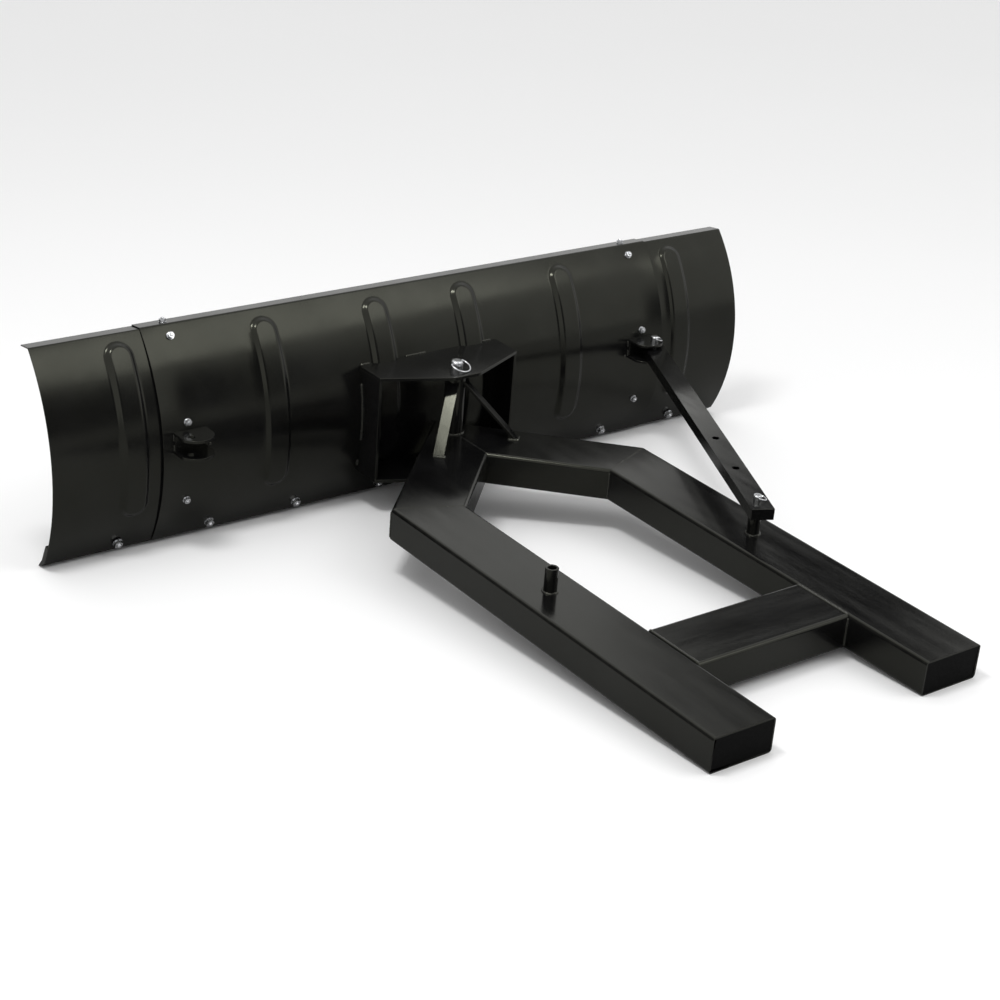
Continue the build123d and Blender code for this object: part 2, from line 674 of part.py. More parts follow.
lock_pin(
    "kingpin",
    kingpin_seat,
    KINGPIN_RADIUS,
    KINGPIN_LENGTH,
    KINGPIN_HEAD,
    KINGPIN_HEAD_HEIGHT,
    kingpin_pivot,
    KINGPIN_HINGE,
    KINGPIN_WIRE,
)
pull_ring(
    "kingpin_ring",
    kingpin_seat,
    KINGPIN_HINGE,
    KINGPIN_RING,
    KINGPIN_WIRE,
    KINGPIN_RING_OFFSET,
    kingpin_pivot,
    KINGPIN_HEAD,
)
for name, seat, length in (
    ("clevis_pin", clevis_pin_seat, CLEVIS_PIN_LENGTH),
    ("post_pin", post_pin_seat, POST_PIN_LENGTH),
):
    lock_pin(
        name, seat, PIN_RADIUS, length, PIN_HEAD, PIN_HEAD_HEIGHT, strut_pin_pivot, PIN_HINGE, PIN_WIRE
    )
    pull_ring(
        f"{name}_ring", seat, PIN_HINGE, PIN_RING, PIN_WIRE, PIN_RING_OFFSET, strut_pin_pivot, PIN_HEAD
    )
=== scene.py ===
"""Looks of an ATV plow blade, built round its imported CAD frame."""

import json
import math

import bmesh
import bpy
from mathutils import Matrix, Vector, noise

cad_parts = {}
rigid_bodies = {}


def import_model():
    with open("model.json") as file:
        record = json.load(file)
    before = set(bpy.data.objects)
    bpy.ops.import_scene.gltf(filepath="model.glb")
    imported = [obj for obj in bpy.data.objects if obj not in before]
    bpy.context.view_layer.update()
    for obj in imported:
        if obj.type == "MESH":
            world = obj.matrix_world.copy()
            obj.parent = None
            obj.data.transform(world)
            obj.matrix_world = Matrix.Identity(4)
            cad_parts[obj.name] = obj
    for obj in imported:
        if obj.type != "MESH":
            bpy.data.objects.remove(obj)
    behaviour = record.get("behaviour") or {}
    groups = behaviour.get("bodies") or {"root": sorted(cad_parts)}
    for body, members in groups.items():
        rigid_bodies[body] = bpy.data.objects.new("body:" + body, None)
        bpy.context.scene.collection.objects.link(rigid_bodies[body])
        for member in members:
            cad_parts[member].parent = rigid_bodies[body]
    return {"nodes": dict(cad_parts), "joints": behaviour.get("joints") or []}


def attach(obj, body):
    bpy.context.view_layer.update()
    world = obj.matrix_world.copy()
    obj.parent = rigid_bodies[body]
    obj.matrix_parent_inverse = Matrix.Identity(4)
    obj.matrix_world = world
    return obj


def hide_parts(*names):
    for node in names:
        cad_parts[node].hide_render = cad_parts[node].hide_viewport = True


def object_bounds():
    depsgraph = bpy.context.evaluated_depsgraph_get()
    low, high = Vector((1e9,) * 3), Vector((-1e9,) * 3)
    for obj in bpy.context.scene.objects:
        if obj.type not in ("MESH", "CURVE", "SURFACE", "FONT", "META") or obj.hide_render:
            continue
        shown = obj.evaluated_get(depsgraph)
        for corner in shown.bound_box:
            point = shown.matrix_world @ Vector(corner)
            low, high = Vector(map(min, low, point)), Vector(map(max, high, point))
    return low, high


for leftover in list(bpy.data.objects):
    bpy.data.objects.remove(leftover)

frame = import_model()
cad_low, cad_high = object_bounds()
nodes = frame["nodes"]
MM = 0.001

# The rails' frame: X right, Y forward, Z square to the rails, origin on the kingpin's axis.
# Every new piece is drawn in it, in millimetres.
swing = next(joint for joint in frame["joints"] if joint["name"] == "blade_swing")
UP = Vector(swing["axis"]).normalized()
SIDE = Vector((1, 0, 0))
to_world = Matrix((SIDE, UP.cross(SIDE), UP)).transposed().to_4x4()
to_world.translation = Vector(swing["pos_m"])
to_world = to_world @ Matrix.Scale(MM, 4)
to_rig = to_world.inverted()

# ======================================================================================
# Materials
# ======================================================================================


class Nodes:
    """Short way to write a material's node tree."""

    def __init__(self, name):
        self.material = bpy.data.materials.new(name)
        self.material.use_nodes = True
        self.tree = self.material.node_tree
        self.shader = self.tree.nodes["Principled BSDF"]
        self.place = self.add("ShaderNodeTexCoord").outputs["Object"]

    def add(self, kind, **settings):
        node = self.tree.nodes.new(kind)
        for key, value in settings.items():
            setattr(node, key, value)
        return node

    def link(self, source, target):
        self.tree.links.new(source, target)

    def set(self, **values):
        for key, value in values.items():
            self.shader.inputs[key.replace("_", " ")].default_value = value

    def noise(self, scale, detail=3.0, roughness=0.5, stretch=(1.0, 1.0, 1.0)):
        """Value of a noise pattern; scale is in features per metre."""
        texture = self.add("ShaderNodeTexNoise")
        for key, value in (("Scale", scale), ("Detail", detail), ("Roughness", roughness)):
            texture.inputs[key].default_value = value
        mapping = self.add("ShaderNodeMapping")
        mapping.inputs["Scale"].default_value = stretch
        self.link(self.place, mapping.inputs["Vector"])
        self.link(mapping.outputs["Vector"], texture.inputs["Vector"])
        return texture.outputs["Fac"]

    def span(self, value, low, high, to_low, to_high):
        """The value mapped from one range to another, kept within it."""
        node = self.add("ShaderNodeMapRange")
        limits = {"From Min": low, "From Max": high, "To Min": to_low, "To Max": to_high}
        for key, number in limits.items():
            node.inputs[key].default_value = number
        self.link(value, node.inputs["Value"])
        return node.outputs["Result"]

    def maths(self, operation, a, b):
        node = self.add("ShaderNodeMath", operation=operation)
        self.link(a, node.inputs[0])
        self.link(b, node.inputs[1])
        return node.outputs["Value"]

    def mixed(self, share, first, second):
        """Colour between two others, each a colour or a node's output."""
        node = self.add("ShaderNodeMix", data_type="RGBA")
        self.link(share, node.inputs["Factor"])
        for socket, value in ((node.inputs["A"], first), (node.inputs["B"], second)):
            if isinstance(value, tuple):
                socket.default_value = (*value, 1.0)
            else:
                self.link(value, socket)
        return node.outputs["Result"]

    def wear(self):
        """Share of wear: on the rounded edges, broken up by noise."""
        edges = self.add("ShaderNodeAttribute", attribute_name="wear").outputs["Fac"]
        patches = self.span(self.noise(45.0, 4.0, 0.6), 0.4, 0.75, 0.05, 0.8)
        return self.maths("MULTIPLY", edges, patches)

    def bumps(self, *layers):
        """Bump layers, each (height output, distance in metres)."""
        normal = None
        for height, distance in layers:
            bump = self.add("ShaderNodeBump")
            bump.inputs["Distance"].default_value = distance
            bump.inputs["Strength"].default_value = 1.0
            self.link(height, bump.inputs["Height"])
            if normal:
                self.link(normal, bump.inputs["Normal"])
            normal = bump.outputs["Normal"]
        self.link(normal, self.shader.inputs["Normal"])


DUST, WORN = (0.035, 0.035, 0.033), (0.009, 0.009, 0.0085)
SHEEN = (0.985, 1.0, 0.81, 1.0)     # the faint olive cast of the paint's reflections


def paint(name, tone, gloss, ripple, peel, shine, drawn=(1.0, 1.0, 1.0)):
    """Glossy black powder coat.

    ripple is the height of the metal's slow waviness and peel of the orange-peel skin, in metres;
    drawn scales the pattern of the dull streaks, which are longest where it is smallest.
    """
    made = Nodes(name)
    darker = tuple(c * 0.7 for c in tone)
    lighter = tuple(c * 1.4 + 0.0006 for c in tone)
    body = made.mixed(made.span(made.noise(8.0, 4.0), 0.35, 0.68, 0.0, 1.0), darker, lighter)
    dust = made.span(made.noise(1300.0, 2.0, 0.6), 0.72, 0.8, 0.0, 0.25)
    dusty = made.mixed(dust, body, DUST)
    made.link(made.mixed(made.wear(), dusty, WORN), made.shader.inputs["Base Color"])
    streaks = made.noise(11.0, 5.0, 0.62, drawn)
    smears = made.span(streaks, 0.3, 0.75, gloss - 0.04, gloss + 0.08)
    grain = made.span(made.noise(380.0, 2.0), 0.3, 0.7, -0.015, 0.025)
    made.link(made.maths("ADD", smears, grain), made.shader.inputs["Roughness"])
    made.set(Specular_IOR_Level=shine, Specular_Tint=SHEEN)
    made.bumps((made.noise(6.0, 1.5), ripple), (made.noise(380.0, 2.0, 0.55), peel))
    return made.material


def zinc(name, tone):
    """Bright zinc plate, mottled and faintly scratched."""
    made = Nodes(name)
    mottle = made.span(made.noise(260.0, 4.0), 0.35, 0.68, 0.0, 1.0)
    colour = made.mixed(mottle, tuple(c * 0.6 for c in tone), tone)
    made.link(made.mixed(made.wear(), colour, (0.9, 0.9, 0.9)), made.shader.inputs["Base Color"])
    made.link(made.span(made.noise(700.0, 3.0), 0.3, 0.7, 0.12, 0.3), made.shader.inputs["Roughness"])
    made.set(Metallic=1.0)
    made.bumps((made.noise(900.0, 3.0, 0.6), 0.00006))
    return made.material


def plastic(name, tone):
    """Matt moulded plastic with a fine grain."""
    made = Nodes(name)
    colour = made.mixed(made.noise(30.0, 4.0), tone, tuple(c * 1.6 for c in tone))
    made.link(colour, made.shader.inputs["Base Color"])
    made.link(made.span(made.noise(200.0, 3.0), 0.3, 0.7, 0.4, 0.55), made.shader.inputs["Roughness"])
    made.set(Specular_IOR_Level=0.06)
    made.bumps((made.noise(1400.0, 2.0), 0.00008))
    return made.material


BLACK = (0.0032, 0.0032, 0.0034)
DRAWN_ALONG_Y, DRAWN_ALONG_X = (3.0, 0.35, 3.0), (0.35, 3.0, 3.0)
looks = {
    "blade_black": paint("blade_black", BLACK, 0.18, 0.0008, 0.000008, 0.34),
    "frame_black": paint("frame_black", BLACK, 0.15, 0.0003, 0.000008, 0.34, DRAWN_ALONG_Y),
    "cross_black": paint("cross_black", BLACK, 0.15, 0.0003, 0.000008, 0.34, DRAWN_ALONG_X),
    "edge_black": paint("edge_black", BLACK, 0.3, 0.0003, 0.00002, 0.3),
    "weld_black": paint("weld_black", (0.013, 0.013, 0.0125), 0.22, 0.0003, 0.00008, 0.5),
    "zinc_hardware": zinc("zinc_hardware", (0.78, 0.79, 0.81)),
    "black_plastic": plastic("black_plastic", (0.0013, 0.0013, 0.0013)),
}

# ======================================================================================
# Making pieces
# ======================================================================================

CRISP = math.radians(32)


def piece(name, mesh, body, slot, replaced=(), look=None):
    """An object of the model from a mesh drawn in the rails' frame, riding on a body."""
    bmesh.ops.recalc_face_normals(mesh, faces=mesh.faces)
    mesh.transform(to_world)
    data = bpy.data.meshes.new(name)
    mesh.to_mesh(data)
    mesh.free()
    made = bpy.data.objects.new(name, data)
    bpy.context.scene.collection.objects.link(made)
    data.materials.append(looks[look or slot])
    data.shade_smooth()
    data.set_sharp_from_angle(angle=CRISP)
    flatter = made.modifiers.new("flat faces stay flat", "WEIGHTED_NORMAL")
    flatter.keep_sharp = True
    flatter.weight = 100
    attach(made, body)
    if replaced:
        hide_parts(*replaced)
    return made


def cad_mesh(node):
    """A CAD node's mesh in the rails' frame, welded, with its flat faces whole."""
    mesh = bmesh.new()
    mesh.from_mesh(nodes[node].data)
    mesh.transform(to_rig)
    bmesh.ops.remove_doubles(mesh, verts=mesh.verts, dist=0.01)
    bmesh.ops.dissolve_limit(mesh, angle_limit=math.radians(1), verts=mesh.verts, edges=mesh.edges)
    return mesh


def round_edges(mesh, radius, segments=3, wanted=None):
    """Rounds the mesh's outward edges, or those that are wanted, and marks them for wear."""
    wear = mesh.faces.layers.float.get("wear") or mesh.faces.layers.float.new("wear")
    edges = [
        edge
        for edge in mesh.edges
        if len(edge.link_faces) == 2
        and edge.is_convex
        and edge.calc_face_angle() > CRISP
        and (wanted is None or wanted(edge))
    ]
    made = bmesh.ops.bevel(
        mesh,
        geom=edges,
        offset=radius,
        offset_type="OFFSET",
        segments=segments,
        profile=0.5,
        affect="EDGES",
        clamp_overlap=True,
        loop_slide=True,
    )
    for face in made["faces"]:
        face[wear] = 1.0


def runs_along(direction):
    """Test for edges parallel to a direction."""
    direction = Vector(direction).normalized()

    def test(edge):
        run = (edge.verts[1].co - edge.verts[0].co).normalized()
        return abs(run.dot(direction)) > 0.999

    return test


def seat(point, axis, turn=0.0):
    """Matrix of a place whose Z runs along an axis, turned about it."""
    made = Vector(axis).to_track_quat("Z", "Y").to_matrix().to_4x4()
    made.translation = Vector(point)
    return made @ Matrix.Rotation(turn, 4, "Z")


def turned(mesh, place, rings, segments=32, closed=False):
    """A body turned about place's Z through rings of (radius, height).

    Each number may instead be a function of the angle. A closed body's last ring meets its first.
    """
    loops = []
    for radius, height in rings:
        loop = []
        for i in range(1 if radius == 0 else segments):
            angle = 2 * math.pi * i / segments
            r = radius(angle) if callable(radius) else radius
            h = height(angle) if callable(height) else height
            loop.append(mesh.verts.new(place @ Vector((r * math.cos(angle), r * math.sin(angle), h))))
        loops.append(loop)
    if closed:
        loops.append(loops[0])
    for low, high in zip(loops, loops[1:]):
        for i in range(segments):
            j = i + 1
            corners = (low[i % len(low)], low[j % len(low)], high[j % len(high)], high[i % len(high)])
            mesh.faces.new(list(dict.fromkeys(corners)))


def bead(mesh, points, radius, outward, sides=8):
    """A weld bead along a line of points: scalloped, uneven, and closed at its ends.

    outward is the direction that it faces, or a function that gives it at a point.
    """
    points = [Vector(p) for p in points]
    closed = (points[0] - points[-1]).length < 1e-6
    stops, step = [], radius * 0.35
    for a, b in zip(points, points[1:]):
        count = max(2, round((b - a).length / step))
        stops += [a.lerp(b, i / count) for i in range(count)]
    if not closed:
        stops.append(points[-1])
    loops, travelled = [], 0.0
    last = len(stops) - 1
    for i, stop in enumerate(stops):
        after = stops[(i + 1) % len(stops)] if closed else stops[min(i + 1, last)]
        before = stops[i - 1] if closed or i else stop
        ahead = (after - before).normalized()
        out = outward(stop) if callable(outward) else Vector(outward)
        out = (out - ahead * out.dot(ahead)).normalized()
        across = ahead.cross(out)
        travelled += step
        scallop = 0.86 + 0.14 * abs(math.sin(travelled / radius * 1.25))
        uneven = 1 + 0.16 * noise.noise(stop * 0.12)
        size = radius * scallop * uneven
        if not closed:
            size *= min(1.0, 0.35 + 0.3 * min(i, last - i))
        angles = [2 * math.pi * k / sides for k in range(sides)]
        spokes = [across * math.cos(a) + out * math.sin(a) for a in angles]
        loops.append([mesh.verts.new(stop + spoke * size) for spoke in spokes])
    following = loops[1:] + loops[:1] if closed else loops[1:]
    for a, b in zip(loops, following):
        for k in range(sides):
            mesh.faces.new((a[k], a[(k + 1) % sides], b[(k + 1) % sides], b[k]))
    if not closed:
        mesh.faces.new(loops[0])
        mesh.faces.new(loops[-1])


def circle(centre, radius, steps=40):
    """Closed line of points round a centre, level in the rails' frame."""
    x, y, z = centre
    turns = [2 * math.pi * i / steps for i in range(steps)] + [0.0]
    return [(x + radius * math.cos(t), y + radius * math.sin(t), z) for t in turns]


# ======================================================================================
# Moldboard
# ======================================================================================

CURVE_RADIUS = 326.0
CURVE_Y, CURVE_Z = 395.5, 77.5
CURVE_TOP, CURVE_BOTTOM = math.radians(42.4), math.radians(-29.4)
LIP_DEPTH, LIP_SLOPE = 29.0, math.radians(8.6)
SHEET = 2.0
FOLD_RADIUS = 5.0
PANEL_HALF, WING_START, BLADE_HALF = 550.0, 425.0, 750.0
RIM = 0.35                     # how far the sheets' edges are eased
RIB_HEIGHT, RIB_BASE, RIB_CREST = 6.0, 28.5, 15.5
RIB_TOP, RIB_BOTTOM = math.radians(34.7), math.radians(-11.4)
WAVINESS = 0.22
SEAM_X, SEAM_GAP = 500.0, 4.2  # outside its seam bolts the centre panel springs off the wings
SPRING_X = SEAM_X + 5
CENTRE_RIBS, WING_RIB = (-325.0, -96.0, 96.0, 325.0), 600.0
RIB_REACH = 31.0               # how far from a rib the sheet's mesh is finer
BEND_ROWS, LIP_ROWS = 6, 4

bend = math.pi / 2 - CURVE_TOP + LIP_SLOPE      # how far the sheet turns at its fold
fold_reach = FOLD_RADIUS * math.tan(bend / 2)
arc_start = CURVE_RADIUS * CURVE_BOTTOM
arc_end = CURVE_RADIUS * CURVE_TOP - fold_reach
bend_end = arc_end + FOLD_RADIUS * bend
sheet_end = bend_end + LIP_DEPTH - fold_reach


def on_curve(radius, angle):
    """Point (y, z) on the moldboard's curve."""
    return CURVE_Y - radius * math.cos(angle), CURVE_Z + radius * math.sin(angle)


def section(s):
    """Point and outward direction, both (y, z), at a distance s along the sheet's rear face."""
    if s <= arc_end:
        angle = s / CURVE_RADIUS
        return on_curve(CURVE_RADIUS, angle), (-math.cos(angle), math.sin(angle))
    top = arc_end / CURVE_RADIUS
    (y, z), (ny, nz) = on_curve(CURVE_RADIUS, top), (-math.cos(top), math.sin(top))
    centre = (y - FOLD_RADIUS * ny, z - FOLD_RADIUS * nz)
    turn = min(s - arc_end, FOLD_RADIUS * bend) / FOLD_RADIUS
    ny, nz = ny * math.cos(turn) + nz * math.sin(turn), nz * math.cos(turn) - ny * math.sin(turn)
    rest = max(0.0, s - bend_end)
    return (
        (centre[0] + FOLD_RADIUS * ny + rest * nz, centre[1] + FOLD_RADIUS * nz - rest * ny),
        (ny, nz),
    )


def smooth(t):
    """Smooth rise from 0 to 1 as t goes from 0 to 1."""
    t = min(1.0, max(0.0, t))
    return t * t * t * (t * (6 * t - 15) + 10)


def pressed(x, s, ribs, springs):
    """How far the sheet stands out of its curve: ribs, sprung edges and the waviness of thin sheet."""
    height = WAVINESS * noise.noise(Vector((x / 150, s / 210, 1.7))) * smooth((arc_end - s) / 60)
    if springs and arc_start < s < arc_end:
        beyond = max(0.0, abs(x) - SPRING_X) / (PANEL_HALF - SPRING_X)
        share = (s - arc_start) / (arc_end - arc_start)
        height += SEAM_GAP * beyond**1.5 * math.sin(math.pi * share)
    for rib in ribs:
        over = max(0.0, s - CURVE_RADIUS * RIB_TOP, CURVE_RADIUS * RIB_BOTTOM - s)
        away = math.hypot(x - rib, over)
        height += RIB_HEIGHT * smooth((RIB_BASE - away) / (RIB_BASE - RIB_CREST))
    return height


def stations(start, end, step, close, fine, reach):
    """Positions from start to end, a step apart, and finer within reach of the close ones."""
    found, at = [start], start
    while at < end - 1e-6:
        near = any(abs(at + fine - c) < reach for c in close)
        at = min(end, at + (fine if near else step))
        found.append(at)
    if len(found) > 2 and found[-1] - found[-2] < fine / 2:
        found.pop(-2)
    return found


def panel(name, start, end, depth, ribs):
    """A pressed sheet with its folded lip, its rear face a depth in front of the outer sheet's."""
    mesh = bmesh.new()
    wear = mesh.faces.layers.float.new("wear")
    columns = stations(start + RIM, end - RIM, 10.0, ribs, 1.7, RIB_REACH)
    bends = (CURVE_RADIUS * RIB_TOP, CURVE_RADIUS * RIB_BOTTOM)
    rows = stations(arc_start + RIM, arc_end, 5.0, bends, 2.2, RIB_REACH)
    rows += [arc_end + FOLD_RADIUS * bend * i / BEND_ROWS for i in range(1, BEND_ROWS + 1)]
    lip_run = sheet_end - RIM - bend_end
    rows += [bend_end + lip_run * i / LIP_ROWS for i in range(1, LIP_ROWS + 1)]

    def vertex(x, s, sunk):
        (y, z), (ny, nz) = section(s)
        out = pressed(x, s, ribs, depth == 0) - depth - sunk
        return mesh.verts.new((x, y + ny * out, z + nz * out))

    grids = []
    for sunk in (0.0, SHEET):
        grid = [[vertex(x, s, sunk) for x in columns] for s in rows]
        for low, high in zip(grid, grid[1:]):
            for i in range(len(columns) - 1):
                mesh.faces.new((low[i], low[i + 1], high[i + 1], high[i]))
        grids.append(grid)
    last_row, last_column = len(rows) - 1, len(columns) - 1
    rim = [(0, i) for i in range(last_column + 1)]
    rim += [(j, last_column) for j in range(1, last_row + 1)]
    rim += [(last_row, i) for i in range(last_column - 1, -1, -1)]
    rim += [(j, 0) for j in range(last_row - 1, 0, -1)]

    def eased(j, i, sunk):
        """Point on the sheet's very edge, outside a grid's point on its rim."""
        x = start if i == 0 else end if i == last_column else columns[i]
        s = arc_start if j == 0 else sheet_end if j == last_row else rows[j]
        return vertex(x, s, sunk)

    loops = [
        [grids[0][j][i] for j, i in rim],
        [eased(j, i, RIM) for j, i in rim],
        [eased(j, i, SHEET - RIM) for j, i in rim],
        [grids[1][j][i] for j, i in rim],
    ]
    for outer, inner in zip(loops, loops[1:]):
        for k in range(len(rim)):
            after = (k + 1) % len(rim)
            rim_face = mesh.faces.new((outer[k], outer[after], inner[after], inner[k]))
            rim_face[wear] = 1.0
    piece(f"{name}_sheet", mesh, "blade", "blade_black", [name])


panel("centre_panel", -PANEL_HALF, PANEL_HALF, 0.0, CENTRE_RIBS)
panel("left_wing_panel", -BLADE_HALF, -WING_START, SHEET, (-WING_RIB,))
panel("right_wing_panel", WING_START, BLADE_HALF, SHEET, (WING_RIB,))

# ---- cutting edge ----

edge_bar = cad_mesh("cutting_edge")
round_edges(edge_bar, 0.7, 2)
piece("cutting_edge_bar", edge_bar, "blade", "edge_black", ["cutting_edge"])

# ---- nuts and bolts ----

EDGE_BOLT_PITCH, EDGE_BOLT_COUNT = 177.0, 8
EDGE_UPPER, EDGE_THICKNESS = 38.0, 8.0
SEAM_ANGLES = (38.4, 12.1, -13.8)
LIP_SETBACK = 13.0
EDGE_BOLT, SEAM_BOLT = 4.0, 3.0     # radii
SEAM_GRIP = 2 * SHEET + 0.1
WASHER = 1.2
# the rest in radii of the bolt
WASHER_REACH, HALF_FLATS, NUT_HEIGHT, THREAD_REACH, HEAD_REACH = 2.25, 1.75, 1.7, 2.4, 1.9
HEAD_EDGE, HEAD_DOME, THREAD_ROOT = 0.25, 0.85, 0.72
NUT_FACE = 0.97                     # round face of a nut, as a share of its half flats


def outward_at(angle):
    return Vector((0, -math.cos(angle), math.sin(angle)))


def on_sheet(x, angle, radius):
    """Place on the moldboard's curve, its Z facing outward."""
    y, z = on_curve(radius, angle)
    return (x, y, z), outward_at(angle)


def nut(mesh, place, size):
    """Hexagon nut on its washer; size is the bolt's radius."""
    rim, top = WASHER_REACH * size, WASHER
    bore = size + 0.05
    turned(
        mesh,
        place,
        [(bore, 0.0), (rim - 0.25, 0.0), (rim, 0.25), (rim, top - 0.25), (rim - 0.25, top), (bore, top)],
        40,
        closed=True,
    )
    flat, high = HALF_FLATS * size, WASHER + NUT_HEIGHT * size

    def hexagon(angle):
        return flat / math.cos((angle + math.pi / 6) % (math.pi / 3) - math.pi / 6)

    def crown(angle):
        return high - 0.6 * (hexagon(angle) - NUT_FACE * flat)

    def foot(angle):
        return WASHER + 0.5 * (hexagon(angle) - NUT_FACE * flat)

    turned(
        mesh,
        place,
        [
            (bore, WASHER),
            (NUT_FACE * flat, WASHER),
            (hexagon, foot),
            (hexagon, crown),
            (NUT_FACE * flat, high),
            (bore + 0.12 * size, high),
            (bore, high - 0.12 * size),
        ],
        48,
        closed=True,
    )


def bolt(mesh, place, size, length, nut_top):
    """Bolt with a domed head below the place and a thread at its far end."""
    head = HEAD_REACH * size
    dome = [(0, -(HEAD_EDGE + HEAD_DOME) * size)]
    for i in range(1, 7):
        lean = math.pi / 2 * i / 6
        dome.append((head * math.sin(lean), -(HEAD_EDGE + HEAD_DOME * math.cos(lean)) * size))
    pitch = size / 3
    thread_start = nut_top - pitch
    steps = int((length - 0.25 * size - thread_start) / (pitch / 4))

    def cut(height):
        def radius(angle):
            phase = (height / pitch - angle / (2 * math.pi)) % 1.0
            return size * (1 - 0.09 * (1 - abs(2 * phase - 1)))

        return radius

    threads = [(cut(h), h) for h in (thread_start + i * pitch / 4 for i in range(steps))]
    rings = dome + [(head, 0.0), (size, 0.0), (size * 0.97, thread_start - pitch / 4)]
    rings += threads + [(size * THREAD_ROOT, length), (0, length)]
    turned(mesh, place, rings, 36)


def fasteners(name, spots, size, grip):
    """A piece of bolts and a piece of their nuts; each spot is the outer face under a nut."""
    bolts, nuts = bmesh.new(), bmesh.new()
    for i, (point, axis) in enumerate(spots):
        place = seat(point, axis, 1.7 * i)
        nut(nuts, place, size)
        under_head = seat(Vector(point) - Vector(axis) * grip, axis, 0.9 * i)
        nut_top = grip + WASHER + NUT_HEIGHT * size
        bolt(bolts, under_head, size, grip + WASHER + THREAD_REACH * size, nut_top)
    piece(f"{name}_bolts_domed", bolts, "blade", "zinc_hardware", [f"{name}_bolts"])
    piece(f"{name}_nuts_hex", nuts, "blade", "zinc_hardware", [f"{name}_nuts"])


wing_front = CURVE_RADIUS - 2 * SHEET
edge_angle = CURVE_BOTTOM + EDGE_UPPER / 2 / wing_front
edge_front = wing_front * math.cos(EDGE_UPPER / 2 / wing_front) - EDGE_THICKNESS
middle = (EDGE_BOLT_COUNT - 1) / 2
edge_spots = [
    on_sheet((i - middle) * EDGE_BOLT_PITCH, edge_angle, CURVE_RADIUS)
    for i in range(EDGE_BOLT_COUNT)
]
fasteners("edge", edge_spots, EDGE_BOLT, CURVE_RADIUS - edge_front)
seam_spots = [
    on_sheet(side * SEAM_X, math.radians(angle), CURVE_RADIUS)
    for side in (-1, 1)
    for angle in SEAM_ANGLES
]
fasteners("seam", seam_spots, SEAM_BOLT, SEAM_GRIP)
fold_y, fold_z = on_curve(CURVE_RADIUS, CURVE_TOP)
lip_y = fold_y + LIP_SETBACK * math.cos(LIP_SLOPE)
lip_z = fold_z - LIP_SETBACK * math.sin(LIP_SLOPE)
lip_up = Vector((0, math.sin(LIP_SLOPE), math.cos(LIP_SLOPE)))
lip_spots = [((side * SEAM_X, lip_y, lip_z), lip_up) for side in (-1, 1)]
fasteners("lip", lip_spots, SEAM_BOLT, 2 * SHEET)

# ---- bracket and clevises ----

for name, easing in (
    ("bracket_top_plate", 0.9),
    ("bracket_bottom_plate", 0.9),
    ("left_cheek", 0.7),
    ("right_cheek", 0.7),
    ("left_clevis", 0.9),
    ("right_clevis", 0.9),
):
    formed = cad_mesh(name)
    round_edges(formed, easing, 3)
    piece(f"{name}_plate", formed, "blade", "blade_black", [name])

BRACKET_HALF, TOP_PLATE, BOTTOM_PLATE, PLATE = 150.0, 177.0, -21.0, 6.0
CHEEK = 5.5
CLEVIS_X, CLEVIS_HALF = 497.0, 31.5
PROUD = 0.6                    # how far the beads' middle lines stand off the plates
TOP_RUNS = ((-149, -128), (-52, -8), (100, 138))
BOTTOM_RUNS = ((-130, -112), (-40, 0), (112, 140))
CHEEK_RUNS = ((-10, 2), (44, 152))
INSIDE_RUNS = ((26, 48), (60, 78))
CLEVIS_RUNS = ((100, 112), (118, 130))
SPATTER = ((534.3, 116.7), (459.5, 100), (532, 97))
SPATTER_SHAPE = [(3.0, 0.0), (2.8, 1.4), (1.8, 2.5), (0, 3.0)]


def back_of_panel(z):
    """y of the panel's rear face at a height."""
    return CURVE_Y - math.sqrt(CURVE_RADIUS**2 - (z - CURVE_Z) ** 2)


blade_welds = bmesh.new()
for z, runs, facing in (
    (TOP_PLATE + PLATE + PROUD, TOP_RUNS, (0, -1, 0.6)),
    (BOTTOM_PLATE - PROUD, BOTTOM_RUNS, (0, -1, -0.6)),
):
    y = back_of_panel(z) - 1
    for start, end in runs:
        bead(blade_welds, [(start, y, z), (end, y, z)], 2.6, facing)
for side in (-1, 1):
    for start, end in CHEEK_RUNS:
        heights = [start + (end - start) * i / 8 for i in range(9)]
        line = [(side * (BRACKET_HALF + 0.8), back_of_panel(z) - 0.8, z) for z in heights]
        bead(blade_welds, line, 2.5, (side, -1, 0))
    for height, up in ((TOP_PLATE - PROUD, -1), (BOTTOM_PLATE + PLATE + PROUD, 1)):
        inner = side * (BRACKET_HALF - CHEEK - PROUD)
        for start, end in INSIDE_RUNS:
            bead(blade_welds, [(inner, start, height), (inner, end, height)], 2.2, (-side, 0, up))
    for x, z in SPATTER:
        spot = seat((side * x, back_of_panel(z) + 0.8, z), (0, -1, 0.1))
        turned(blade_welds, spot, SPATTER_SHAPE, 14)
    for start, end in CLEVIS_RUNS:
        for edge in (-1, 1):
            x = CLEVIS_X * side + CLEVIS_HALF * edge
            line = [(x, back_of_panel(z) - PROUD, z) for z in (start, end)]
            bead(blade_welds, line, 1.7, (edge, -1, 0))
piece("blade_welds", blade_welds, "blade", "blade_black", look="weld_black")

# ======================================================================================
# Push frame
# ======================================================================================

RAIL_X, HALF_TUBE, TUBE_TOP = 215.0, 60.0, 60.0
RAIL_REAR, CORNER_Y = -1032.0, -217.0
TUBE_CORNER = 6.5
CROSS_FRONT, CROSS_REAR = -745.0, -865.0
INNER_CORNER_Y = -266.7
POST_X, POST_Y, POST_RADIUS, POST_BORE, POST_TOP = 214.5, -576.0, 11.0, 7.0, 101.7
KING_TUBE, KING_BORE, KING_LOW, KING_HIGH = 19.0, 9.08, -14.0, 176.0

